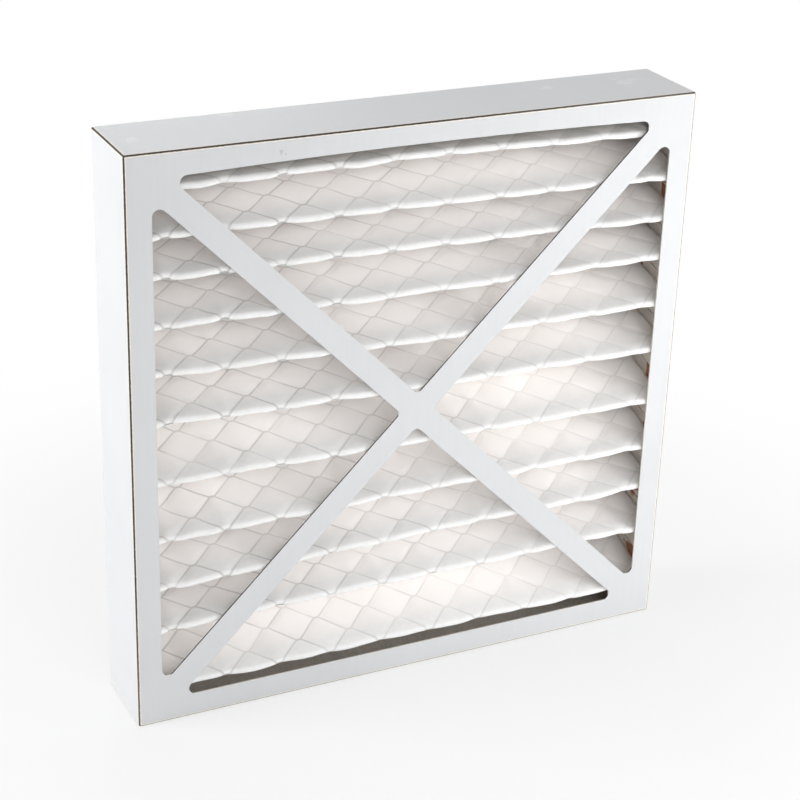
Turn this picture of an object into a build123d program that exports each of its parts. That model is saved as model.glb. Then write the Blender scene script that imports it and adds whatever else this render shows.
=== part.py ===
from build123d import *
import os
from math import asin, atan2, cos, degrees, hypot, sin

os.makedirs("parts", exist_ok=True)

# Pleated panel air filter, nominal 12 x 12 x 2 inches.
# The origin is the middle of the bottom edge, +Z is up, and the air enters
# through the braced face that looks towards -Y and leaves towards +Y.

# Driving dimensions, in millimetres
frame_width = 292.1
frame_height = 292.1
frame_depth = 44.45
board = 0.8                     # thickness of the coated board of both trays
board_fold_radius = 1.1         # outside radius of a creased and folded edge
border = 12.5                   # width of the flat rim around the four windows
brace_width = 12.4              # width of each arm of the cross
window_centre_radius = 3.0      # window corners that look at the crossing
window_corner_radius = 3.5      # window corners at the rim
top_edge_bow = 2.4              # rise of the front rim's bowed top edge at mid-span
tab_length = 20.0               # glue tabs inside the corners of the front tray
tab_taper = 78.0                # angle of a tab's slanted ends, in degrees
nest_gap = 0.2                  # room all round between the two nested trays
flap_gap = 1.0                  # room between a rear flap and a glue tab

media_thickness = 1.6
fold_radius = 1.4               # of the media's middle line at every fold
tip_gap = 0.3                   # room between the fold tips and a tray's face
end_margin = 8.1                # from the tray's outside to the first and last rear fold

grid_thickness = 0.5
grid_gap = 0.15                 # room between the media and the grid bonded to it
crease_setback = 0.45           # how far the grid's flat creases stay behind the front folds
strand_width = 2.2
grid_columns = 5                # openings in one row of the grid

glue_thickness = 0.6            # adhesive between the media's ends and the side walls
glue_width = 4.5                # how far that adhesive spreads to each side of a pleat
bead_radius = 4.0               # quarter-round beads along the lips

# Heights from each fold to the next, from the bottom up, as the hand-set
# pleats of this piece stand. Only their proportions count: the whole row is
# stretched to the height of the pack. The first and last are half pleats.
bottom_half_pleat = 11.5
top_half_pleat = 11.3
pleat_pitches = (32.2, 24.2, 24.4, 28.2, 29.6, 24.8, 24.8, 21.8, 20.4, 22.6)

# Places that follow from the sizes above
front_y = -frame_depth / 2
rear_y = frame_depth / 2
mid_height = frame_height / 2
rear_tray_width = frame_width - 2 * (board + nest_gap)
rear_tray_height = frame_height - 2 * (board + nest_gap)
tray_front_y = front_y + board + tip_gap
tab_rear_y = rear_y - board - nest_gap
wall_x = rear_tray_width / 2 - board
floor_z = board + nest_gap + board
ceiling_z = frame_height - floor_z
media_half_width = wall_x - glue_thickness
media_front_y = front_y + board + tip_gap
grid_rear_y = rear_y - board - tip_gap
media_rear_y = grid_rear_y - grid_thickness - grid_gap
half_media = media_thickness / 2
grid_near = half_media + grid_gap
grid_far = grid_near + grid_thickness
grid_front_y = media_front_y + media_thickness + grid_gap + crease_setback

front_face = Plane(origin=(0, front_y, mid_height), x_dir=(1, 0, 0), z_dir=(0, -1, 0))
rear_face = Plane(origin=(0, rear_y, mid_height), x_dir=(-1, 0, 0), z_dir=(0, 1, 0))


def window_outlines(bow):
    """Four windows between the rim and the cross, with the top edge bowed up by bow."""
    half_width = frame_width / 2 - border
    half_height = frame_height / 2 - border
    brace_angle = degrees(atan2(frame_height, frame_width))
    brace_length = hypot(frame_width, frame_height)
    crossing = hypot(brace_width, brace_width)
    with BuildSketch() as windows:
        with BuildLine():
            Polyline(
                (-half_width, half_height),
                (-half_width, -half_height),
                (half_width, -half_height),
                (half_width, half_height),
            )
            if bow:
                ThreePointArc((half_width, half_height), (0, half_height + bow), (-half_width, half_height))
            else:
                Line((half_width, half_height), (-half_width, half_height))
        make_face()
        Rectangle(brace_length, brace_width, rotation=brace_angle, mode=Mode.SUBTRACT)
        Rectangle(brace_length, brace_width, rotation=-brace_angle, mode=Mode.SUBTRACT)
        at_rim = windows.vertices().filter_by(lambda corner: hypot(corner.X, corner.Y) > crossing)
        fillet(at_rim, radius=window_corner_radius)
        at_crossing = windows.vertices().filter_by(lambda corner: hypot(corner.X, corner.Y) < crossing)
        fillet(at_crossing, radius=window_centre_radius)
    return windows.sketch


def fold_centres():
    """Middle of every fold's arc in the YZ plane, from the bottom up, rear folds first and last."""
    steps = [bottom_half_pleat]
    for pitch in pleat_pitches:
        steps += [pitch / 2, pitch / 2]
    steps.append(top_half_pleat)
    stretch = (frame_height - 2 * end_margin) / sum(steps)
    inset = half_media + fold_radius
    height = end_margin
    centres = [Vector(media_rear_y - inset, height)]
    for index, step in enumerate(steps):
        height += step * stretch
        depth = media_front_y + inset if index % 2 == 0 else media_rear_y - inset
        centres.append(Vector(depth, height))
    return centres


def fold_lines(flat_tips):
    """Middle lines of the lips and flanks, from the bottom up, each as a point and a direction.

    With flat_tips, each fold between two flanks also has a short upright line across its tip.
    """
    centres = fold_centres()
    lip_y = centres[0].X + fold_radius
    upright = Vector(0, 1)
    lines = [(Vector(lip_y, end_margin), upright)]
    for lower, upper in zip(centres, centres[1:]):
        run = abs(upper.X - lower.X)
        rise = upper.Y - lower.Y
        slope = atan2(rise, run) - asin(2 * fold_radius / hypot(run, rise))
        to_rear = upper.X > lower.X
        lines.append(((lower + upper) / 2, Vector(cos(slope) if to_rear else -cos(slope), sin(slope))))
        if flat_tips and upper is not centres[-1]:
            tip_y = upper.X + fold_radius if to_rear else upper.X - fold_radius + crease_setback
            lines.append((Vector(tip_y, upper.Y), upright))
    lines.append((Vector(lip_y, frame_height - end_margin), upright))
    return lines


def strip_side(distance, flat_tips=False):
    """Corners of one side of the folded sheet, distance behind its middle line, from the bottom up."""
    shifted = [
        (point + Vector(way.Y, -way.X) * distance, way) for point, way in fold_lines(flat_tips)
    ]
    corners = [Vector(shifted[0][0].X, floor_z + tip_gap)]
    for (start, way), (other, other_way) in zip(shifted, shifted[1:]):
        turn = way.X * other_way.Y - way.Y * other_way.X
        reach = ((other.X - start.X) * other_way.Y - (other.Y - start.Y) * other_way.X) / turn
        corners.append(start + way * reach)
    corners.append(Vector(shifted[-1][0].X, ceiling_z - tip_gap))
    return corners


def rounded_strip(near, far):
    """Section of a softly folded layer between two distances behind the media's middle line."""
    near_side = strip_side(near)
    far_side = strip_side(far)
    with BuildSketch() as section:
        with BuildLine():
            Polyline(*near_side, *reversed(far_side), close=True)
        make_face()
        for distance, side in ((near, near_side), (far, far_side)):
            rear_folds = side[1:-1:2]
            front_folds = side[2:-1:2]
            for folds, radius in (
                (rear_folds, fold_radius + distance),
                (front_folds, fold_radius - distance),
            ):
                if radius > 0:
                    sharp = [section.vertices().sort_by_distance(fold)[0] for fold in folds]
                    fillet(sharp, radius=radius)
    return section.sketch


# Outer tray: the braced front face and four full-depth walls of one folded
# blank, whose corners are held by tabs glued inside the side walls
with BuildPart() as front_frame:
    with BuildSketch(front_face):
        Rectangle(frame_width, frame_height)
    extrude(amount=-frame_depth)
    fillet(front_frame.edges().filter_by(Axis.Y), radius=board_fold_radius)
    fillet(front_frame.faces().sort_by(Axis.Y)[0].edges(), radius=board_fold_radius)
    offset(amount=-board, openings=front_frame.faces().sort_by(Axis.Y)[-1])
    with BuildSketch(front_face):
        add(window_outlines(top_edge_bow))
    extrude(amount=-2 * board, mode=Mode.SUBTRACT)
    tab_depth = tab_rear_y - tray_front_y
    tab_y = (tab_rear_y + tray_front_y) / 2
    tab_centre = board + tab_length / 2
    with BuildSketch(
        Plane.YZ.offset(frame_width / 2 - 2 * board),
        Plane.YZ.offset(board - frame_width / 2),
    ):
        with Locations((tab_y, tab_centre)):
            Trapezoid(tab_depth, tab_length, tab_taper)
        with Locations((tab_y, frame_height - tab_centre)):
            Trapezoid(tab_depth, tab_length, tab_taper, rotation=180)
    extrude(amount=board)

front_frame.part.label = "front_frame"
export_step(front_frame.part, "parts/front_frame.step")

# Inner tray: the braced rear face and four flaps cut back at the corners,
# which lie inside the outer tray's walls and between its glue tabs
side_flap_height = frame_height - 2 * (board + tab_length + flap_gap)
flat_flap_width = frame_width - 2 * (2 * board + flap_gap)
flap_depth = rear_y - tray_front_y
with BuildPart() as rear_frame:
    with BuildSketch(rear_face):
        Rectangle(rear_tray_width, rear_tray_height)
    extrude(amount=-board)
    with BuildSketch(rear_face):
        with GridLocations(rear_tray_width - board, 0, 2, 1):
            Rectangle(board, side_flap_height)
        with GridLocations(0, rear_tray_height - board, 1, 2):
            Rectangle(flat_flap_width, board)
    extrude(amount=-flap_depth)
    fillet(rear_frame.faces().sort_by(Axis.Y)[-1].outer_wire().edges(), radius=board / 2)
    with BuildSketch(rear_face):
        add(window_outlines(0))
    extrude(amount=-2 * board, mode=Mode.SUBTRACT)

rear_frame.part.label = "rear_frame"
export_step(rear_frame.part, "parts/rear_frame.step")

# Filter media: one sheet folded into pleats, with flat lips at both ends
with BuildPart() as pleated_media:
    with BuildSketch(Plane.YZ.offset(-media_half_width)):
        add(rounded_strip(-half_media, half_media))
    extrude(amount=2 * media_half_width)

pleated_media.part.label = "pleated_media"
export_step(pleated_media.part, "parts/pleated_media.step")

# Support grid: expanded metal creased with the media, behind it, so that each
# row of openings wraps a fold and the strands cross on the fold lines
with BuildPart() as support_grid:
    with BuildSketch(Plane.YZ.offset(-media_half_width)):
        with BuildLine():
            near_corners = strip_side(grid_near, flat_tips=True)
            far_corners = strip_side(grid_far, flat_tips=True)
            Polyline(*near_corners, *reversed(far_corners), close=True)
        make_face()
    extrude(amount=2 * media_half_width)
    strand_step = media_half_width / grid_columns
    crossings_y = (grid_front_y + strand_width / 2, grid_rear_y - strand_width / 2)
    strand_nodes = [
        (index * strand_step - media_half_width, crossings_y[index % 2])
        for index in range(-1, 2 * grid_columns + 2)
    ]
    with BuildSketch(Plane.XY):
        Rectangle(2 * frame_width, 2 * frame_depth)
        with BuildLine(mode=Mode.PRIVATE) as strands:
            Polyline(*strand_nodes)
        trace(strands.line, strand_width, mode=Mode.SUBTRACT)
    extrude(amount=frame_height, mode=Mode.SUBTRACT)

support_grid.part.label = "support_grid"
export_step(support_grid.part, "parts/support_grid.step")

# Adhesive along the cut ends of the pleats, one band on each side wall
for side, start_x in (("left", -wall_x), ("right", media_half_width)):
    with BuildPart() as side_glue:
        with BuildSketch(Plane.YZ.offset(start_x)):
            add(rounded_strip(-half_media - glue_width, grid_far + glue_width))
            with Locations(((media_front_y + grid_rear_y) / 2, mid_height)):
                Rectangle(
                    grid_rear_y - media_front_y,
                    ceiling_z - floor_z - 2 * tip_gap,
                    mode=Mode.INTERSECT,
                )
        extrude(amount=glue_thickness)
    side_glue.part.label = f"glue_{side}"
    export_step(side_glue.part, f"parts/glue_{side}.step")

# Quarter-round beads that seal the lips to the top and bottom walls
lip_front_y = media_rear_y - media_thickness
for end, corner_z, way in (("bottom", floor_z, 1), ("top", ceiling_z, -1)):
    with BuildPart() as end_bead:
        with BuildSketch(Plane.YZ.offset(-media_half_width)):
            with Locations((lip_front_y, corner_z)):
                Circle(bead_radius)
            with Locations((lip_front_y - bead_radius / 2, corner_z + way * bead_radius / 2)):
                Rectangle(bead_radius, bead_radius, mode=Mode.INTERSECT)
        extrude(amount=2 * media_half_width)
    end_bead.part.label = f"glue_{end}"
    export_step(end_bead.part, f"parts/glue_{end}.step")
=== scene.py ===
"""Dresses the pleated panel air filter and sets it in a plain white studio.

Lengths are in metres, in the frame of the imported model: +Z is up, the air
enters through the braced face that looks towards -Y and leaves towards +Y.
"""
import logging
from bisect import bisect_right
from collections.abc import Callable, Mapping
from dataclasses import dataclass
from enum import Enum
from functools import cached_property, reduce
from itertools import accumulate
from math import asin, atan2, cos, hypot, pi, radians, sin, sqrt
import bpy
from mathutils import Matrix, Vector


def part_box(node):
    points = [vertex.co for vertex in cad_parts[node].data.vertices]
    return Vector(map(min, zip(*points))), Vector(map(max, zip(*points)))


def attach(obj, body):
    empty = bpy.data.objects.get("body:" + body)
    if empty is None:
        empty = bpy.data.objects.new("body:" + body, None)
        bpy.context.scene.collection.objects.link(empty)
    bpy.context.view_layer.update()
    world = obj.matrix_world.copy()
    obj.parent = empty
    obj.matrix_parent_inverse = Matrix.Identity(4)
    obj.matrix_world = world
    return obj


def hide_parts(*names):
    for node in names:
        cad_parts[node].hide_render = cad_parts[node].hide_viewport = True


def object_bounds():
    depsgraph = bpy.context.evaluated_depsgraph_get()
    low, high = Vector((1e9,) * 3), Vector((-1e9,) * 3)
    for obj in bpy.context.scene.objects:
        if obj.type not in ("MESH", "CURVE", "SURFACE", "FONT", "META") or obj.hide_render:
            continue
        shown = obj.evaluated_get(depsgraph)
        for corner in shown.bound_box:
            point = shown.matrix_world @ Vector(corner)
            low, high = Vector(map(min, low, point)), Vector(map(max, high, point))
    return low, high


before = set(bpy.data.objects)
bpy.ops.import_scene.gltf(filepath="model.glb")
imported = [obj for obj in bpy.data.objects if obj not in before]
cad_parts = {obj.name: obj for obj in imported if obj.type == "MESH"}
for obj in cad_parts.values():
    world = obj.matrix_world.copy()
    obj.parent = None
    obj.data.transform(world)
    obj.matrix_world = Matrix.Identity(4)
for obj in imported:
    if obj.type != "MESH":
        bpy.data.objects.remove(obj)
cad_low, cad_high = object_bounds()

from types import MappingProxyType
from typing import Any, Union

import bmesh
import bpy
from mathutils import Matrix, Vector, noise

log = logging.getLogger("air_filter")

MM = 0.001
BODY = "root"
SCREEN_LEVELS = 255
SRGB_KNEE = 0.04045
SRGB_SLOPE = 12.92
SRGB_LIFT = 0.055
SRGB_POWER = 2.4
Range = tuple[float, float]
Triple = tuple[float, float, float]
Colour = tuple[float, float, float, float]
Spot = tuple[float, float, float, float]
WHITE: Colour = (1.0, 1.0, 1.0, 1.0)


def srgb(red: int, green: int, blue: int) -> Colour:
    """Turns 8-bit screen values into the linear colour that shaders use.

    Args:
        red: Red value, 0 to 255.
        green: Green value, 0 to 255.
        blue: Blue value, 0 to 255.

    Returns:
        The linear colour with full alpha.
    """
    shares = (level / SCREEN_LEVELS for level in (red, green, blue))
    linear = [
        share / SRGB_SLOPE if share <= SRGB_KNEE else ((share + SRGB_LIFT) / (1 + SRGB_LIFT)) ** SRGB_POWER
        for share in shares
    ]
    return linear[0], linear[1], linear[2], 1.0


class Value:
    """A socket of a node tree, on which plain arithmetic adds Math nodes."""

    def __init__(self, graph: "Graph", socket: bpy.types.NodeSocket) -> None:
        """Wraps an output socket of the graph."""
        self.graph = graph
        self.socket = socket

    def _math(self, operation: str, *terms: "Term") -> "Value":
        """Adds one Math node over the given terms."""
        return self.graph.node("ShaderNodeMath", {"operation": operation}, dict(enumerate(terms)))

    def __add__(self, other: "Term") -> "Value":
        """self + other."""
        return self._math("ADD", self, other)

    def __radd__(self, other: "Term") -> "Value":
        """other + self."""
        return self._math("ADD", other, self)

    def __sub__(self, other: "Term") -> "Value":
        """self - other."""
        return self._math("SUBTRACT", self, other)

    def __rsub__(self, other: "Term") -> "Value":
        """other - self."""
        return self._math("SUBTRACT", other, self)

    def __mul__(self, other: "Term") -> "Value":
        """self * other."""
        return self._math("MULTIPLY", self, other)

    def __abs__(self) -> "Value":
        """Distance from zero."""
        return self._math("ABSOLUTE", self)

    def least(self, other: "Term") -> "Value":
        """The smaller of the two."""
        return self._math("MINIMUM", self, other)

    def most(self, other: "Term") -> "Value":
        """The larger of the two."""
        return self._math("MAXIMUM", self, other)

    def off_whole(self) -> "Value":
        """How far it is above the nearest whole number, from -0.5 to 0.5."""
        return self._math("FRACT", self + 0.5) - 0.5

    def eased(self, start: float, end: float) -> "Value":
        """Eases from 0 at start to 1 at end, where end may be the smaller.

        Args:
            start: Value at which the result is 0.
            end: Value at which the result is 1.

        Returns:
            The eased share, from 0 to 1.
        """
        if start > end:
            return 1 - self.eased(end, start)
        ranges = {"Value": self, "From Min": start, "From Max": end}
        return self.graph.node("ShaderNodeMapRange", {"interpolation_type": "SMOOTHSTEP"}, ranges)


Term = Union[Value, float]
NOTHING: Mapping[Any, Any] = MappingProxyType({})


@dataclass(frozen=True)
class Grain:
    """A soft noise: its waves to a unit of length, its finer octaves and how strong they are."""

    scale: float
    detail: float = 2.0
    roughness: float = 0.5


class Graph:
    """Node tree of a material or a world, written as expressions."""

    MIX_FACTOR, MIX_FIRST, MIX_SECOND = 0, 6, 7
    MIX_COLOUR = 2
    SPOT_GRAIN = Grain(230.0, 3.0, 0.7)
    SPOT_SWELL = 3.4
    SPOT_OFFSET = 0.7
    SPOT_LEAST = 0.3
    SPOT_CORE = 0.7

    def __init__(self, owner: Union[bpy.types.Material, bpy.types.World]) -> None:
        """Empties the owner's node tree."""
        owner.use_nodes = True
        self.tree = owner.node_tree
        self.tree.nodes.clear()

    def node(
        self,
        kind: str,
        settings: Mapping[str, Any] = NOTHING,
        inputs: Mapping[Union[str, int], Any] = NOTHING,
        output: Union[str, int] = 0,
    ) -> Value:
        """Adds a node, with its settings made before its sockets are filled.

        Args:
            kind: Blender's name for the node's type.
            settings: The node's own properties.
            inputs: What each input socket is linked to or set to.
            output: The output socket that is wanted.

        Returns:
            That output.
        """
        made = self.tree.nodes.new(kind)
        for name, setting in settings.items():
            setattr(made, name, setting)
        for name, term in inputs.items():
            if isinstance(term, Value):
                self.tree.links.new(term.socket, made.inputs[name])
            else:
                made.inputs[name].default_value = term
        return Value(self, made.outputs[output] if made.outputs else None)

    def place(self, kind: str = "Object") -> Value:
        """One of the surface's own coordinates: Object, UV or Normal."""
        return self.node("ShaderNodeTexCoord", output=kind)

    def split(self, vector: Value) -> list[Value]:
        """The three parts of a vector."""
        parts = self.node("ShaderNodeSeparateXYZ", NOTHING, {0: vector}).socket.node.outputs
        return [Value(self, part) for part in parts]

    def scaled(self, vector: Value, x: float, y: float, z: float) -> Value:
        """A vector with each part multiplied by its own factor."""
        return self.node("ShaderNodeVectorMath", {"operation": "MULTIPLY"}, {0: vector, 1: (x, y, z)})

    def noise(self, vector: Value, grain: Grain) -> Value:
        """Soft noise from 0 to 1.

        Args:
            vector: Where it is read.
            grain: Its settings.

        Returns:
            The noise's value.
        """
        inputs = {"Scale": grain.scale, "Detail": grain.detail, "Roughness": grain.roughness}
        return self.node("ShaderNodeTexNoise", NOTHING, {"Vector": vector, **inputs})

    def mix(self, factor: Term, first: Any, second: Any) -> Value:
        """Mixes two colours.

        Args:
            factor: Share of the second colour.
            first: Colour at factor 0.
            second: Colour at factor 1.

        Returns:
            The mixed colour.
        """
        inputs = {self.MIX_FACTOR: factor, self.MIX_FIRST: first, self.MIX_SECOND: second}
        return self.node("ShaderNodeMix", {"data_type": "RGBA"}, inputs, self.MIX_COLOUR)

    def mix_shaders(self, factor: Term, first: Value, second: Value) -> Value:
        """Mixes two shaders by the share of the second."""
        return self.node("ShaderNodeMixShader", NOTHING, dict(enumerate((factor, first, second))))

    def rays(self, *kinds: str) -> Value:
        """1 for rays of the given kinds and 0 for all others."""
        rays = [self.node("ShaderNodeLightPath", output=f"Is {kind} Ray") for kind in kinds]
        return reduce(Value.most, rays)

    def bump(self, height: Value, distance: float, strength: float, over: Mapping = NOTHING) -> Value:
        """Tilts the normal by a height from 0 to 1.

        Args:
            height: The height.
            distance: How far a height of 1 stands proud.
            strength: Share of the tilt that is kept.
            over: The Normal input of an earlier bump, where there is one.

        Returns:
            The tilted normal.
        """
        inputs = {"Height": height, "Distance": distance, "Strength": strength, **over}
        return self.node("ShaderNodeBump", NOTHING, inputs)

    def spots(self, place: Value, centres: tuple[Spot, ...]) -> Term:
        """Marks small round places on a surface.

        Args:
            place: Where it is read.
            centres: The middle and radius of each place.

        Returns:
            1 inside a place and 0 outside, with a ragged edge.
        """
        swollen = self.noise(place, self.SPOT_GRAIN) * self.SPOT_SWELL
        ragged = (swollen - self.SPOT_OFFSET).most(self.SPOT_LEAST)
        marked: Term = 0.0
        for *centre, radius in centres:
            ends = {0: place, 1: centre}
            away = self.node("ShaderNodeVectorMath", {"operation": "DISTANCE"}, ends, "Value")
            marked = (away * ragged).eased(radius, self.SPOT_CORE * radius).most(marked)
        return marked


def painted(name: str, build: Callable[[Graph], Value]) -> bpy.types.Material:
    """Makes a material from a function that returns its surface shader.

    Args:
        name: The material's name.
        build: Takes the material's graph and returns the shader.

    Returns:
        The material.
    """
    material = bpy.data.materials.new(name)
    graph = Graph(material)
    graph.node("ShaderNodeOutputMaterial", NOTHING, {"Surface": build(graph)})
    return material


class Upstream(Enum):
    """Which way a tray's braced face looks along the Y axis."""

    FRONT = -1
    REAR = 1


@dataclass(frozen=True)
class CoatedBoard:
    """Grey-backed board with a satin silver coat, cracked dark along its creases with painted shade and a
    painted highlight there, and painted light and shade on its cut edges.
    """

    coat: Colour = srgb(210, 211, 213)
    coat_shade: Colour = srgb(204, 206, 208)
    back: Colour = srgb(226, 221, 213)
    back_shade: Colour = srgb(210, 204, 194)
    # Cut-edge colours: the pale one is painted light, the dark one painted shade.
    cut_painted_light: Colour = srgb(224, 215, 204)
    cut_painted_shade: Colour = srgb(74, 64, 54)
    # Crease colours: the dark line is partly the coat's crack and partly painted shade, painted paler
    # towards the right and the bottom; the pale line beside it is a painted highlight.
    crack_and_shade: Colour = srgb(46, 38, 30)
    crack_and_shade_paler: Colour = srgb(118, 113, 108)
    crease_highlight: Colour = srgb(240, 232, 220)
    scuff_pale: Colour = srgb(228, 228, 229)
    scuff_dark: Colour = srgb(150, 150, 150)
    coat_depth: Range = (0.36 * MM, 0.32 * MM)
    roughness: float = 0.45
    bare_roughness: float = 0.4
    cloud_roughness: float = 0.1
    streak_stretch: Triple = (420, 9, 9)
    streaks: Grain = Grain(1.0, 3.0, 0.6)
    streak_share: float = 0.3
    clouds: Grain = Grain(16.0, 3.0)
    tone: Range = (0.25, 0.75)
    fibre_stretch: Triple = (500, 500, 160)
    fibres: Grain = Grain(1.0, 3.0, 0.7)
    fibre_tone: Range = (0.3, 0.7)
    cut_facing: Range = (0.6, 0.3)
    cut_from_edge: Range = (4 * MM, 5 * MM)
    cut_depth: Range = (1.04 * MM, 0.88 * MM)
    cut_shade_slant: Range = (0.1, 0.4)
    # Spread of the crease line, partly crack and partly painted shade, of its painted highlight, and of
    # where the painted shade turns paler.
    crack_and_shade_grain: Grain = Grain(700.0, 3.0)
    crack_and_shade_wander: float = 0.3 * MM
    crack_and_shade_reach: float = 0.85 * MM
    crack_and_shade_core: float = 0.68 * MM
    crease_highlight_reach: float = 1.3 * MM
    crease_highlight_core: float = 1.105 * MM
    crease_paler_right: Range = (0.0, 0.12)
    crease_paler_right_share: float = 0.5
    crease_paler_low: Range = (0.1, 0.0)
    crease_paler_low_share: float = 0.4
    relief: float = 0.03 * MM
    relief_share: float = 0.4
    scuff_share: float = 0.35
    pale_scuffs: tuple[Spot, ...] = (
        (-0.135, -0.0015, 0.292, 0.0035),
        (-0.083, 0.020, 0.292, 0.0040),
        (0.080, 0.010, 0.292, 0.0030),
        (0.121, 0.004, 0.292, 0.0050),
        (0.127, 0.007, 0.292, 0.0030),
    )
    dark_scuffs: tuple[Spot, ...] = ((-0.0725, -0.0222, 0.286, 0.0011), (-0.0705, -0.0222, 0.2846, 0.0007))

    def material(self, name: str, low: Vector, high: Vector, facing: Upstream) -> bpy.types.Material:
        """Makes the board of one tray, whose coat is on the outside of its box.

        Args:
            name: The material's name.
            low: Lowest corner of the tray.
            high: Highest corner of the tray.
            facing: Which way its braced face looks.

        Returns:
            The material.
        """
        def build(graph: Graph) -> Value:
            """Paints the coat, the bare back, the cut edges with painted light and painted shade by their
            slant, and the creases, cracked, with painted shade and a painted highlight.
            """
            place = graph.place()
            x, y, z = graph.split(place)
            middle = (low.z + high.z) / 2
            from_side = (high.x - low.x) / 2 - abs(x)
            from_end = (high.z - low.z) / 2 - abs(z - middle)
            from_face = y - low.y if facing is Upstream.FRONT else high.y - y
            skin_depth = from_side.least(from_face).least(from_end)
            crease = from_side.least(from_face).most(from_side.most(from_face).least(from_end))

            streaks = graph.noise(graph.scaled(place, *self.streak_stretch), self.streaks)
            clouds = graph.noise(place, self.clouds)
            tone = (streaks * self.streak_share + clouds * (1 - self.streak_share)).eased(*self.tone)
            coat = graph.mix(tone, self.coat_shade, self.coat)
            coat = graph.mix(graph.spots(place, self.pale_scuffs) * self.scuff_share, coat, self.scuff_pale)
            coat = graph.mix(graph.spots(place, self.dark_scuffs) * self.scuff_share, coat, self.scuff_dark)
            fibres = graph.noise(graph.scaled(place, *self.fibre_stretch), self.fibres)
            back = graph.mix(fibres.eased(*self.fibre_tone), self.back_shade, self.back)
            coated = skin_depth.eased(*self.coat_depth)
            colour = graph.mix(coated, back, coat)

            across, along, up = graph.split(graph.place("Normal"))
            cut = (
                abs(along).eased(*self.cut_facing)
                * from_side.least(from_end).eased(*self.cut_from_edge)
                * from_face.eased(*self.cut_depth)
            )
            # Cut edges get painted shade where they slant and painted light where they run straight.
            slant_shade = abs(across * up).eased(*self.cut_shade_slant)
            colour = graph.mix(cut, colour, graph.mix(slant_shade, self.cut_painted_light, self.cut_painted_shade))

            # Along the creases: a painted highlight on the outer part of the fold, then a dark line that is
            # partly the coat's crack and partly painted shade, painted paler towards the right and the
            # bottom.
            ragged = crease + (graph.noise(place, self.crack_and_shade_grain) - 0.5) * self.crack_and_shade_wander
            crease_paler = (
                x.eased(*self.crease_paler_right) * self.crease_paler_right_share
                + z.eased(*self.crease_paler_low) * self.crease_paler_low_share
            )
            crack_and_shade = graph.mix(crease_paler, self.crack_and_shade, self.crack_and_shade_paler)
            colour = graph.mix(ragged.eased(self.crease_highlight_reach, self.crease_highlight_core), colour, self.crease_highlight)
            colour = graph.mix(ragged.eased(self.crack_and_shade_reach, self.crack_and_shade_core), colour, crack_and_shade)

            bare = 1 - coated
            roughness = self.roughness + bare * self.bare_roughness + (clouds - 0.5) * self.cloud_roughness
            relief = streaks * self.streak_share + fibres * bare
            return graph.node("ShaderNodeBsdfPrincipled", NOTHING, {
                "Base Color": colour,
                "Roughness": roughness,
                "Normal": graph.bump(relief, self.relief, self.relief_share),
            })

        return painted(name, build)


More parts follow.
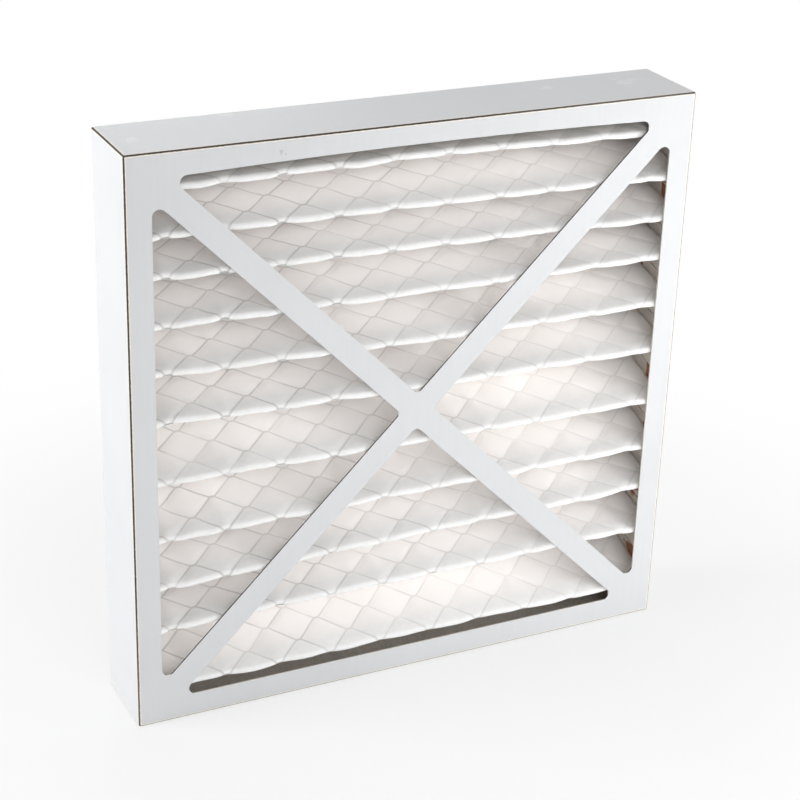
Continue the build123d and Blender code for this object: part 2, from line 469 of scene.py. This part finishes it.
@dataclass(frozen=True)
class FilterFleece:
    """White non-woven fleece, with painted soft grey shadows of the strands behind it and painted shade at
    their bonds near the folds.
    """

    fibre: Colour = srgb(243, 243, 243)
    fibre_shade: Colour = srgb(237, 237, 236)
    # Painted light: deeper in the pleats the fleece is painted brighter and warmer, standing for light
    # coming through it and bounced between the pleats.
    deep_painted_light: Colour = srgb(253, 250, 248)
    strand_shadow: Colour = srgb(172, 171, 170)
    bond_shadow: Colour = srgb(92, 88, 84)
    speck: Colour = srgb(120, 114, 108)
    roughness: float = 0.9
    gloss: float = 0.15
    strand_width: Range = (0.8 * MM, 0.2 * MM)
    contact: Grain = Grain(42.0, 2.0)
    contact_patches: Range = (0.3, 0.65)
    contact_share: float = 0.6
    leftward: Range = (0.13, -0.12)
    strand_tint: float = 0.22
    strand_tint_left: float = 0.32
    bond_across: Range = (0.11, 0.07)
    bond_along: Range = (0.022, 0.010)
    bond_from_crest: Range = (0.3, 0.2)
    bond_grain: Grain = Grain(61.0, 1.0)
    bond_patches: Range = (0.42, 0.55)
    bond_tint: float = 0.15
    bond_tint_left: float = 0.4
    mottle: Grain = Grain(380.0, 4.0, 0.7)
    mottle_tone: Range = (0.25, 0.75)
    deep_painted_light_from: Range = (-20.5 * MM, -4 * MM)
    speck_share: float = 0.8
    quilt_reach: float = 4 * MM
    quilt: float = 0.35 * MM
    quilt_share: float = 0.8
    fuzz_grain: Grain = Grain(1500.0, 3.0, 0.7)
    fuzz: float = 0.08 * MM
    fuzz_share: float = 0.5
    specks: tuple[Spot, ...] = ((-0.0190, -0.0068, 0.2505, 0.0010), (-0.0535, 0.0000, 0.1790, 0.0009))

    def material(self, weave: "DiamondWeave") -> bpy.types.Material:
        """Makes the fleece, whose UV map counts the grid's diamonds across and along the sheet.

        Args:
            weave: The grid's diamonds.

        Returns:
            The material.
        """
        def build(graph: Graph) -> Value:
            """Paints fibres and the strands' soft shadows, which are stronger towards the left."""
            place = graph.place()
            x, y, _ = graph.split(place)
            across, along, _ = graph.split(graph.place("UV"))
            rising = (across + along).off_whole()
            falling = (across - along).off_whole()
            aside = abs(rising + falling) * 0.5
            away = abs(rising - falling) * 0.5
            strand = (aside - weave.bond_share).most(0.0) * weave.strand_slope
            near = abs(strand - away) * weave.strand_spacing

            left = x.eased(*self.leftward)
            contact = graph.noise(place, self.contact).eased(*self.contact_patches)
            touching = contact * self.contact_share + (1 - self.contact_share)
            strength = left * self.strand_tint_left + self.strand_tint
            line = near.eased(*self.strand_width) * touching * strength
            from_crest = abs((along * (1 / weave.rows_to_pleat)).off_whole()) * weave.rows_to_pleat
            bond = (
                aside.eased(*self.bond_across)
                * away.eased(*self.bond_along)
                * from_crest.eased(*self.bond_from_crest)
                * graph.noise(place, self.bond_grain).eased(*self.bond_patches)
                * (left * self.bond_tint_left + self.bond_tint)
            )

            mottle = graph.noise(place, self.mottle).eased(*self.mottle_tone)
            fleece = graph.mix(mottle, self.fibre_shade, self.fibre)
            # Painted light, brighter and warmer towards the back of the pleats.
            fleece = graph.mix(y.eased(*self.deep_painted_light_from), fleece, self.deep_painted_light)
            # Painted shadow of the strands, stronger towards the left, and painted shade at the bonds near
            # the folds.
            colour = graph.mix(line, fleece, self.strand_shadow)
            colour = graph.mix(bond, colour, self.bond_shadow)
            colour = graph.mix(graph.spots(place, self.specks) * self.speck_share, colour, self.speck)
            quilted = graph.bump(near.eased(0.0, self.quilt_reach), self.quilt, self.quilt_share)
            fuzz = graph.noise(place, self.fuzz_grain)
            return graph.node("ShaderNodeBsdfPrincipled", NOTHING, {
                "Base Color": colour,
                "Roughness": self.roughness,
                "Specular IOR Level": self.gloss,
                "Normal": graph.bump(fuzz, self.fuzz, self.fuzz_share, {"Normal": quilted}),
            })

        return painted("filter_fleece", build)


@dataclass(frozen=True)
class ExpandedMetal:
    """Galvanised sheet, slit and drawn into diamonds."""

    metal: Colour = srgb(188, 190, 192)
    dull: Colour = srgb(150, 152, 154)
    patches: Grain = Grain(140.0, 3.0)
    patch_tone: Range = (0.35, 0.65)
    roughness: float = 0.28
    patch_roughness: float = 0.25
    drawn: Grain = Grain(900.0, 2.0)
    relief: float = 0.05 * MM
    relief_share: float = 0.6

    def material(self) -> bpy.types.Material:
        """Makes the metal."""
        def build(graph: Graph) -> Value:
            """Paints zinc that is dull in patches."""
            place = graph.place()
            patches = graph.noise(place, self.patches)
            drawn = graph.noise(place, self.drawn)
            return graph.node("ShaderNodeBsdfPrincipled", NOTHING, {
                "Base Color": graph.mix(patches.eased(*self.patch_tone), self.dull, self.metal),
                "Metallic": 1.0,
                "Roughness": patches * self.patch_roughness + self.roughness,
                "Normal": graph.bump(drawn, self.relief, self.relief_share),
            })

        return painted("grid_metal", build)


@dataclass(frozen=True)
class HotMelt:
    """Adhesive smeared thin over the board, amber where it is thick."""

    film: Colour = srgb(206, 198, 190)
    amber: Colour = srgb(152, 96, 60)
    patches: Grain = Grain(55.0, 2.0)
    thick: Range = (0.54, 0.57)
    roughness: float = 0.6
    thick_gloss: float = 0.3
    ripples: Grain = Grain(260.0, 2.0)
    relief: float = 0.3 * MM
    relief_share: float = 0.6

    def material(self) -> bpy.types.Material:
        """Makes the adhesive."""
        def build(graph: Graph) -> Value:
            """Paints thin film and thick patches."""
            place = graph.place()
            thick = graph.noise(place, self.patches).eased(*self.thick)
            ripples = graph.noise(place, self.ripples)
            return graph.node("ShaderNodeBsdfPrincipled", NOTHING, {
                "Base Color": graph.mix(thick, self.film, self.amber),
                "Roughness": self.roughness - thick * self.thick_gloss,
                "Normal": graph.bump(ripples, self.relief, self.relief_share),
            })

        return painted("adhesive", build)


@dataclass
class FoldedSheet:
    """Route of the pleated sheet, from the lip at the bottom up to the lip at the top.

    The route runs through stretches: a lip, then a fold's arc and a flank in
    turn, and a lip again. Folds are counted from the bottom up, the even ones
    at the rear. Half pleats and pitches, in about millimetres, are stretched to
    fill the height. Rises give each front fold's height over its even place,
    in millimetres, at the left, in the middle and at the right.
    """

    low: Vector
    high: Vector
    thickness: float = 1.4 * MM
    fold_radius: float = 1.1 * MM
    end_margin: float = 8.1 * MM
    bottom_half_pleat: float = 11.5
    top_half_pleat: float = 11.3
    pleat_pitches: tuple[float, ...] = (32.2, 24.2, 24.4, 28.2, 29.6, 24.8, 24.8, 21.8, 20.4, 22.6)
    crest_rises: tuple[Triple, ...] = (
        (-1.2, -1.2, -1.4),
        (-0.9, -0.1, -0.6),
        (-1.8, 0.3, 1.3),
        (-1.3, 0.3, 0.0),
        (1.5, 0.0, -1.7),
        (2.6, -0.1, -1.8),
        (2.7, -0.3, -1.4),
        (1.8, -0.2, -0.9),
        (2.7, 1.4, -1.6),
        (2.0, 1.6, -0.6),
        (0.9, 2.6, 0.2),
    )
    rises_at: float = 130 * MM
    left_unevenness: float = 0.6
    hem_share: float = 0.25
    sway: float = 0.9 * MM
    sway_wave: float = 30 * MM
    sway_seed: Range = (5.3, 0.7)
    ripple_share: float = 0.4
    ripple_wave: float = 9 * MM
    ripple_seed: Range = (3.1, 4.2)
    notch: float = 0.5 * MM
    notch_wave: float = 28 * MM
    notch_start: float = 12.8 * MM
    notch_even: float = 0.85
    notch_depth: float = 0.5
    notch_seed: Range = (1.7, 6.1)
    dent: float = 0.5 * MM
    dent_even: float = 0.5
    dent_wave: float = 13.5 * MM
    dent_seed: Range = (2.9, 8.8)
    droop: float = 1.4 * MM
    droop_reach: float = 11 * MM
    billow: float = 0.5 * MM
    billow_waves: Range = (26 * MM, 17 * MM)
    billow_seed: float = 2.3

    @cached_property
    def centres(self) -> list[Vector]:
        """Middle of every fold's arc, as its Y and Z."""
        steps = [self.bottom_half_pleat]
        for pitch in self.pleat_pitches:
            steps += [pitch / 2, pitch / 2]
        steps.append(self.top_half_pleat)
        bottom = cad_low.z + self.end_margin
        stretch = (cad_high.z - self.end_margin - bottom) / sum(steps)
        inset = self.thickness / 2 + self.fold_radius
        depths = (self.high.y - inset, self.low.y + inset)
        heights = accumulate(steps, lambda height, step: height + step * stretch, initial=bottom)
        return [Vector((depths[fold % 2], height)) for fold, height in enumerate(heights)]

    @cached_property
    def lengths(self) -> list[float]:
        """Length of every stretch along the sheet's middle line."""
        centres = self.centres
        headings = [self._heading(gap, centres) for gap in range(len(centres) + 1)]
        lengths = [centres[0].y - self.low.z]
        for fold, centre in enumerate(centres):
            lengths.append(self.fold_radius * abs(headings[fold + 1] - headings[fold]))
            if fold + 1 < len(centres):
                apart = (centres[fold + 1] - centre).length_squared
                lengths.append(sqrt(apart - (2 * self.fold_radius) ** 2))
        lengths.append(self.high.z - centres[-1].y)
        return lengths

    @cached_property
    def starts(self) -> list[float]:
        """Distance along the sheet at which every stretch starts, and the whole length."""
        return list(accumulate(self.lengths, initial=0.0))

    @property
    def length(self) -> float:
        """Length of the whole sheet before it was folded."""
        return self.starts[-1]

    @property
    def width(self) -> float:
        """Width of the sheet across the folds."""
        return self.high.x - self.low.x

    def front_tips(self) -> list[float]:
        """Distance along the sheet of every front fold's tip."""
        arcs = [2 * fold + 1 for fold in range(1, len(self.centres), 2)]
        return [self.starts[arc] + self.lengths[arc] / 2 for arc in arcs]

    def _heading(self, gap: int, centres: list[Vector]) -> float:
        """Finds the direction of a lip or flank.

        Args:
            gap: Number of the fold above it.
            centres: Middles of the folds' arcs.

        Returns:
            Its angle from +Y towards +Z.
        """
        if gap in (0, len(self.centres)):
            return pi / 2
        lower, upper = centres[gap - 1], centres[gap]
        run = abs(upper.x - lower.x)
        rise = upper.y - lower.y
        slope = atan2(rise, run) - asin(2 * self.fold_radius / hypot(run, rise))
        return slope if gap % 2 == 0 else pi - slope

    def _centre(self, fold: int, x: float) -> Vector:
        """Lets a fold wander from its straight line.

        Args:
            fold: The fold's number.
            x: Place across the folds.

        Returns:
            Middle of the fold's arc, as its Y and Z.
        """
        nominal = self.centres[fold]
        ragged = 1.0 + self.left_unevenness * max(0.0, -x / self.high.x)
        hem = self.hem_share if fold in (0, len(self.centres) - 1) else 1.0
        wander = self._noise(x / self.sway_wave, fold, self.sway_seed)
        ripple = self._noise(x / self.ripple_wave, fold, self.ripple_seed)
        lift = self.sway * (wander + self.ripple_share * ripple) * ragged * hem + self._rise(fold, x)
        push = self.dent_even + self._noise(x / self.dent_wave, fold, self.dent_seed)
        depth = self.dent * min(1.0, max(0.0, push)) * (-1 if fold % 2 == 0 else 1)
        if fold % 2:
            waves = (x - self.notch_start) / self.notch_wave
            pinch = 1 - abs(sin(pi * waves))
            held = max(0.0, self.notch_even + self._noise(round(waves), fold, self.notch_seed))
            notch = self.notch * ragged * pinch ** 2 * held
            lift += notch
            depth += self.notch_depth * notch
            from_end = max(0.0, 1 - (x - self.low.x) / self.droop_reach)
            lift -= self.droop * from_end ** 2
        return Vector((nominal.x + depth, nominal.y + lift))

    @staticmethod
    def _noise(place: float, fold: int, seed: Range) -> float:
        """Smooth noise along a fold, unlike that of other folds."""
        return noise.noise(Vector((place, seed[0] * fold, seed[1])))

    def _rise(self, fold: int, x: float) -> float:
        """Reads a fold's rise, a rear fold's as the mean of its neighbours'.

        Args:
            fold: The fold's number.
            x: Place across the folds.

        Returns:
            How much higher it lies than an evenly set one.
        """
        if fold in (0, len(self.centres) - 1):
            return 0.0
        if fold % 2 == 0:
            return (self._rise(fold - 1, x) + self._rise(fold + 1, x)) / 2
        left, middle, right = self.crest_rises[fold // 2]
        share = x / self.rises_at
        return (middle + share * (right - left) / 2 + share ** 2 * ((left + right) / 2 - middle)) * MM

    def at(self, x: float, along: float, behind: float) -> Vector:
        """Finds a point of the folded sheet.

        Args:
            x: Place across the folds.
            along: Distance along the unfolded sheet from its bottom edge.
            behind: Distance downstream of the sheet's middle surface.

        Returns:
            The point.
        """
        stretch = min(max(bisect_right(self.starts, along) - 1, 0), len(self.lengths) - 1)
        share = (along - self.starts[stretch]) / self.lengths[stretch]
        fold = (stretch - 1) // 2
        centres = list(self.centres)
        for near in range(max(fold - 1, 0), min(fold + 3, len(centres))):
            centres[near] = self._centre(near, x)
        if stretch == 0:
            point, heading = self._tangent(0, pi / 2, centres), pi / 2
            point = Vector((point.x, self.low.z + share * (point.y - self.low.z)))
        elif stretch == len(self.lengths) - 1:
            point, heading = self._tangent(len(centres) - 1, pi / 2, centres), pi / 2
            point = Vector((point.x, point.y + share * (self.high.z - point.y)))
        elif stretch % 2:
            before, after = self._heading(fold, centres), self._heading(fold + 1, centres)
            heading = before + share * (after - before)
            point = self._tangent(fold, heading, centres)
        else:
            heading = self._heading(fold + 1, centres)
            point = self._tangent(fold, heading, centres)
            point = point.lerp(self._tangent(fold + 1, heading, centres), share)
            across_wave, along_wave = self.billow_waves
            bulge = noise.noise(Vector((x / across_wave, along / along_wave, self.billow_seed)))
            behind += self.billow * bulge * sin(pi * share)
        normal = Vector((sin(heading), -cos(heading)))
        point += normal * behind
        return Vector((x, point.x, point.y))

    def _tangent(self, fold: int, heading: float, centres: list[Vector]) -> Vector:
        """Point of a fold's arc where the sheet runs in the given direction."""
        side = self.fold_radius if fold % 2 == 0 else -self.fold_radius
        return centres[fold] + side * Vector((sin(heading), -cos(heading)))

    def rows(self, to_lip: int, to_fold: int, to_flank: int) -> list[float]:
        """Divides every stretch into equal steps.

        Args:
            to_lip: Steps in a lip.
            to_fold: Steps in a fold's arc.
            to_flank: Steps in a flank.

        Returns:
            Distances along the sheet, from its bottom edge to its top edge.
        """
        last = len(self.lengths) - 1
        rows = []
        for stretch, (start, length) in enumerate(zip(self.starts, self.lengths)):
            steps = to_lip if stretch in (0, last) else to_fold if stretch % 2 else to_flank
            rows += [start + length * step / steps for step in range(steps)]
        return rows + [self.length]


@dataclass
class DiamondWeave:
    """The support grid's diamonds, in step with the pleats.

    A place on the sheet is counted in diamonds across and along, and strands
    meet where both counts are whole or both are halves. Shares and spans are
    parts of a diamond, from the middle of the bond where they meet.
    """

    sheet: FoldedSheet
    long_way: float = 28 * MM
    rows_to_pleat: int = 4
    across_start: float = 12.8 * MM
    row_behind_tip: float = -0.8 * MM
    bond_share: float = 0.04
    strand_span: float = 0.25
    pleats_beyond: int = 3

    @property
    def strand_slope(self) -> float:
        """How much steeper a strand runs than a diamond's side, because it starts at the end of a bond."""
        return self.strand_span / (self.strand_span - self.bond_share)

    @cached_property
    def knots(self) -> list[tuple[float, float]]:
        """Places along the sheet, each with its count of diamonds, to well beyond both ends."""
        tips = self.sheet.front_tips()
        knots = [(tip + self.row_behind_tip, pleat * self.rows_to_pleat) for pleat, tip in enumerate(tips)]
        below, above = knots[0], knots[-1]
        reach = self.pleats_beyond * self.rows_to_pleat
        return [
            (below[0] - reach * self.short_way, below[1] - reach),
            *knots,
            (above[0] + reach * self.short_way, above[1] + reach),
        ]

    @property
    def short_way(self) -> float:
        """Mean length of a diamond along the sheet."""
        tips = self.sheet.front_tips()
        return (tips[-1] - tips[0]) / ((len(tips) - 1) * self.rows_to_pleat)

    @property
    def strand_spacing(self) -> float:
        """Distance between two parallel strands."""
        return self.long_way * self.short_way / hypot(self.long_way, self.short_way)

    def count(self, x: float, along: float) -> tuple[float, float]:
        """Counts diamonds up to a place on the sheet.

        Args:
            x: Place across the folds.
            along: Distance along the sheet.

        Returns:
            Diamonds across and diamonds along.
        """
        knots = self.knots
        index = min(max(bisect_right(knots, (along, 0.0)) - 1, 0), len(knots) - 2)
        (start, counted), (end, further) = knots[index], knots[index + 1]
        rows = counted + (further - counted) * (along - start) / (end - start)
        return (x - self.across_start) / self.long_way, rows

    def from_strand(self, x: float, along: float) -> float:
        """Finds the nearest strand.

        Args:
            x: Place across the folds.
            along: Distance along the sheet.

        Returns:
            The strand's distance.
        """
        across, rows = self.count(x, along)
        rising, falling = (total - round(total) for total in (across + rows, across - rows))
        strand = max(abs(rising + falling) / 2 - self.bond_share, 0.0) * self.strand_slope
        return abs(strand - abs(rising - falling) / 2) * self.strand_spacing

    def along(self, rows: float) -> float:
        """Finds where a count of diamonds is reached.

        Args:
            rows: Diamonds along.

        Returns:
            The distance along the sheet.
        """
        knots = self.knots
        index = min(max(bisect_right([knot[1] for knot in knots], rows) - 1, 0), len(knots) - 2)
        (start, counted), (end, further) = knots[index], knots[index + 1]
        return start + (end - start) * (rows - counted) / (further - counted)


def new_piece(
    name: str,
    mesh: bmesh.types.BMesh,
    material: bpy.types.Material,
    smooth: bool,
) -> bpy.types.Object:
    """Makes an object of a finished bmesh, at the origin and riding on the filter's one body.

    Args:
        name: The piece's name.
        mesh: Its shape, which is freed.
        material: Its finish.
        smooth: Whether its faces are shaded smooth.

    Returns:
        The object.
    """
    for face in mesh.faces:
        face.smooth = smooth
    data = bpy.data.meshes.new(name)
    mesh.to_mesh(data)
    mesh.free()
    data.materials.append(material)
    piece = bpy.data.objects.new(name, data)
    bpy.context.scene.collection.objects.link(piece)
    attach(piece, BODY)
    log.info("%s: %d faces", name, len(data.polygons))
    return piece


def finish_node(name: str, material: bpy.types.Material) -> None:
    """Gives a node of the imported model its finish.

    Args:
        name: The node's name.
        material: Its finish.
    """
    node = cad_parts[name]
    if not node.material_slots:
        node.data.materials.append(material)
    for slot in node.material_slots:
        slot.material = material
    log.info("%s: dressed in %s", name, material.name)


@dataclass
class Trays:
    """The two nested board trays."""

    finish: CoatedBoard

    def build(self) -> None:
        """Dresses both trays."""
        for node, facing in (("front_frame", Upstream.FRONT), ("rear_frame", Upstream.REAR)):
            low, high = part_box(node)
            finish_node(node, self.finish.material(f"{node}_board", low, high, facing))


@dataclass
class PleatPack:
    """The pleated fleece and the expanded metal that carries it."""

    sheet: FoldedSheet
    weave: DiamondWeave
    fleece: FilterFleece
    metal: ExpandedMetal
    columns: int = 148
    pillow: float = 0.3 * MM
    pillow_reach: float = 6 * MM
    wrinkle_share: float = 0.5
    wrinkle_waves: Range = (9 * MM, 7 * MM)
    wrinkle_seed: float = 5.5
    calm_share: float = 0.3
    calm_reach: float = 12 * MM
    strand_width: float = 1.3 * MM
    strand_thickness: float = 0.5 * MM
    bond: float = 1.2 * MM
    grid_gap: float = 0.15 * MM
    spare_cells: int = 2
    cut_tolerance: float = 0.001 * MM

    def build(self) -> None:
        """Builds the fleece and the grid."""
        self.build_fleece()
        self.build_grid()

    def _puff(self, x: float, along: float) -> float:
        """Lets the fleece swell between the strands.

        Args:
            x: Place across the folds.
            along: Distance along the sheet.

        Returns:
            How far it stands upstream of the sheet's middle surface.
        """
        away = min(1.0, self.weave.from_strand(x, along) / self.pillow_reach)
        swell = away * away * (3 - 2 * away)
        across_wave, along_wave = self.wrinkle_waves
        wrinkle = noise.noise(Vector((x / across_wave, along / along_wave, self.wrinkle_seed)))
        near_fold = min(abs(along - tip) for tip in self.sheet.front_tips())
        calm = min(1.0, self.calm_share + near_fold / self.calm_reach)
        return self.pillow * (swell + self.wrinkle_share * wrinkle) * calm

    def build_fleece(self) -> None:
        """Folds a flat sheet into pleats and lets it swell between the strands."""
        rows = self.sheet.rows(to_lip=2, to_fold=4, to_flank=10)
        mesh = bmesh.new()
        weave_map = mesh.loops.layers.uv.new("Weave")
        bmesh.ops.create_grid(mesh, x_segments=self.columns, y_segments=len(rows) - 1, size=0.5)
        counts = {}
        for vertex in mesh.verts:
            x = vertex.co.x * self.sheet.width
            along = rows[round((vertex.co.y + 0.5) * (len(rows) - 1))]
            counts[vertex.index] = self.weave.count(x, along)
            vertex.co = self.sheet.at(x, along, -self._puff(x, along))
        for face in mesh.faces:
            for loop in face.loops:
                loop[weave_map].uv = counts[loop.vert.index]
        fleece = new_piece("filter_fleece", mesh, self.fleece.material(self.weave), smooth=True)
        wall = fleece.modifiers.new("thickness", "SOLIDIFY")
        wall.thickness = self.sheet.thickness
        wall.offset = 0.0
        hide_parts("pleated_media")
        flat = (self.sheet.width, self.sheet.length)

    def build_grid(self) -> None:
        """Draws a sheet of diamonds, trims it and folds it behind the fleece."""
        weave, sheet = self.weave, self.sheet
        first_row = weave.count(0, 0)[1]
        last_row = weave.count(0, sheet.length)[1]
        middle_row = round((first_row + last_row) / 2)
        half_cells = (last_row - first_row) / 2 + sheet.width / weave.long_way / 2
        cells = 2 * round(half_cells + self.spare_cells)
        to_diamonds = Matrix((
            (weave.long_way / 2, weave.long_way / 2, 0, weave.across_start),
            (-weave.short_way / 2, weave.short_way / 2, 0, middle_row * weave.short_way),
            (0, 0, 1, 0),
            (0, 0, 0, 1),
        ))
        mesh = bmesh.new()
        bmesh.ops.create_grid(mesh, x_segments=cells, y_segments=cells, size=cells / 2, matrix=to_diamonds)
        spare = weave.long_way
        ends = (first_row * weave.short_way, last_row * weave.short_way)
        outside = [
            face for face in mesh.faces
            if abs(face.calc_center_median().x) > sheet.width / 2 + spare
            or not ends[0] - spare < face.calc_center_median().y < ends[1] + spare
        ]
        bmesh.ops.delete(mesh, geom=outside, context="FACES")
        openings = list(mesh.faces)
        inset = self.strand_width / 2
        bmesh.ops.inset_individual(mesh, faces=openings, thickness=inset, use_even_offset=True)
        corners = dict.fromkeys(vertex for face in openings for vertex in face.verts)
        bmesh.ops.bevel(
            mesh, geom=list(corners), offset=self.bond, affect="VERTICES",
            segments=1, profile=0.5, material=-1,
        )
        widest_strand_face = weave.long_way * self.strand_width
        openings = [face for face in mesh.faces if face.calc_area() > widest_strand_face]
        bmesh.ops.delete(mesh, geom=openings, context="FACES")
        self._cut(mesh, Vector((sheet.low.x, 0, 0)), Vector((-1, 0, 0)), trim=True)
        self._cut(mesh, Vector((sheet.high.x, 0, 0)), Vector((1, 0, 0)), trim=True)
        self._cut(mesh, Vector((0, ends[0], 0)), Vector((0, -1, 0)), trim=True)
        self._cut(mesh, Vector((0, ends[1], 0)), Vector((0, 1, 0)), trim=True)
        for row in sheet.rows(to_lip=1, to_fold=4, to_flank=4)[1:-1]:
            level = weave.count(0, row)[1] * weave.short_way
            self._cut(mesh, Vector((0, level, 0)), Vector((0, 1, 0)), trim=False)
        behind = (sheet.thickness + self.strand_thickness) / 2 + self.grid_gap
        for vertex in mesh.verts:
            along = min(max(weave.along(vertex.co.y / weave.short_way), 0.0), sheet.length)
            vertex.co = sheet.at(vertex.co.x, along, behind)
        grid = new_piece("expanded_metal", mesh, self.metal.material(), smooth=False)
        wall = grid.modifiers.new("thickness", "SOLIDIFY")
        wall.thickness = self.strand_thickness
        wall.offset = 0.0
        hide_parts("support_grid")

    def _cut(self, mesh: bmesh.types.BMesh, place: Vector, normal: Vector, trim: bool) -> None:
        """Cuts the flat mesh along a line.

        Args:
            mesh: The mesh to cut.
            place: A point of the line.
            normal: Direction across the line.
            trim: Whether what lies beyond the line is taken away.
        """
        geometry = [*mesh.verts, *mesh.edges, *mesh.faces]
        bmesh.ops.bisect_plane(
            mesh, geom=geometry, dist=self.cut_tolerance, plane_co=place, plane_no=normal, clear_outer=trim,
        )


@dataclass
class Seals:
    """The adhesive round the pack."""

    finish: HotMelt
    nodes: tuple[str, ...] = ("glue_left", "glue_right", "glue_top", "glue_bottom")

    def build(self) -> None:
        """Dresses the side bands and the beads."""
        material = self.finish.material()
        for node in self.nodes:
            finish_node(node, material)


@dataclass(frozen=True)
class Lamp:
    """A square soft light."""

    name: str
    place: Triple
    aim: Triple
    size: float
    power: float

    def hang(self) -> None:
        """Adds the lamp to the scene."""
        light = bpy.data.lights.new(self.name, "AREA")
        light.size = self.size
        light.energy = self.power
        lamp = bpy.data.objects.new(self.name, light)
        lamp.location = self.place
        lamp.rotation_euler = (Vector(self.aim) - Vector(self.place)).to_track_quat("-Z", "Y").to_euler()
        bpy.context.scene.collection.objects.link(lamp)


@dataclass
class Studio:
    """White floor and surroundings, soft lamps and the camera."""

    floor_half: float = 6.0
    floor_colour: Colour = (0.8, 0.8, 0.8, 1.0)
    floor_glow: float = 0.66
    glow_start: float = 0.16
    glow_end: float = 0.42
    fill: float = 0.35
    camera_place: Triple = (-0.40025, -0.81076, 0.56035)
    camera_azimuth: float = -26.355
    camera_elevation: float = 24.821
    camera_roll: float = 1.931
    camera_lens: float = 89.95
    lamps: tuple[Lamp, ...] = (
        Lamp("key", (0.46, -0.42, 0.06), (0.14, 0.0, 0.1), 0.4, 3.3),
        Lamp("front", (-0.1, -1.1, 0.62), (0.0, 0.0, 0.12), 0.5, 3.3),
        Lamp("side", (-1.3, 0.25, 0.55), (-0.15, 0.0, 0.15), 0.8, 15.0),
        Lamp("overhead", (0.15, 0.25, 1.5), (0.0, 0.0, 0.2), 0.9, 4.6),
        Lamp("low", (0.02, -0.36, 0.05), (0.02, 0.0, 0.02), 0.2, 0.07),
        Lamp("rear", (0.3, 1.3, 0.27), (0.0, 0.0, 0.15), 0.4, 4.0),
    )

    def build(self) -> None:
        """Sets up the whole studio."""
        scene = bpy.context.scene
        scene.view_settings.view_transform = "Standard"
        self.build_world()
        self.build_floor()
        self.build_camera()
        for lamp in self.lamps:
            lamp.hang()

    def build_world(self) -> None:
        """Fills the shadows softly and shows white to the camera and to reflections."""
        world = bpy.data.worlds.new("studio")
        bpy.context.scene.world = world
        graph = Graph(world)
        seen = graph.rays("Camera", "Glossy", "Transmission")
        white = graph.node("ShaderNodeBackground", NOTHING, {"Color": WHITE, "Strength": 1.0})
        fill = graph.node("ShaderNodeBackground", NOTHING, {"Color": WHITE, "Strength": self.fill})
        graph.node("ShaderNodeOutputWorld", NOTHING, {"Surface": graph.mix_shaders(seen, fill, white)})

    def build_floor(self) -> None:
        """Lays the floor, lifted towards white for the camera and keeping the filter's shadow."""
        def build(graph: Graph) -> Value:
            """Mixes some white light into what the camera sees of the floor."""
            level = graph.scaled(graph.place(), 1, 1, 0)
            reach = graph.node("ShaderNodeVectorMath", {"operation": "LENGTH"}, {0: level}, "Value")
            share = reach.eased(self.glow_start, self.glow_end) * (1 - self.floor_glow) + self.floor_glow
            matt = graph.node("ShaderNodeBsdfDiffuse", NOTHING, {"Color": self.floor_colour})
            glow = graph.node("ShaderNodeEmission", NOTHING, {"Color": WHITE, "Strength": 1.0})
            return graph.mix_shaders(graph.rays("Camera", "Glossy") * share, matt, glow)

        mesh = bmesh.new()
        bmesh.ops.create_grid(mesh, x_segments=1, y_segments=1, size=self.floor_half)
        data = bpy.data.meshes.new("floor")
        mesh.to_mesh(data)
        mesh.free()
        data.materials.append(painted("studio_floor", build))
        floor = bpy.data.objects.new("floor", data)
        bpy.context.scene.collection.objects.link(floor)

    def build_camera(self) -> None:
        """Puts the camera where the photograph was taken from."""
        data = bpy.data.cameras.new("camera")
        data.lens = self.camera_lens
        camera = bpy.data.objects.new("camera", data)
        turn = (
            Matrix.Rotation(radians(self.camera_azimuth), 4, "Z")
            @ Matrix.Rotation(radians(90 - self.camera_elevation), 4, "X")
            @ Matrix.Rotation(radians(self.camera_roll), 4, "Z")
        )
        camera.matrix_world = Matrix.Translation(self.camera_place) @ turn
        bpy.context.scene.collection.objects.link(camera)
        bpy.context.scene.camera = camera


def main() -> None:
    """Builds the sub-assemblies in order."""
    logging.basicConfig(level=logging.INFO, format="%(name)s %(message)s")
    sheet = FoldedSheet(*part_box("pleated_media"))
    weave = DiamondWeave(sheet)
    for assembly in (
        Studio(),
        Trays(CoatedBoard()),
        PleatPack(sheet, weave, FilterFleece(), ExpandedMetal()),
        Seals(HotMelt()),
    ):
        log.info("building %s", type(assembly).__name__)
        assembly.build()


if __name__ == "__main__":
    main()
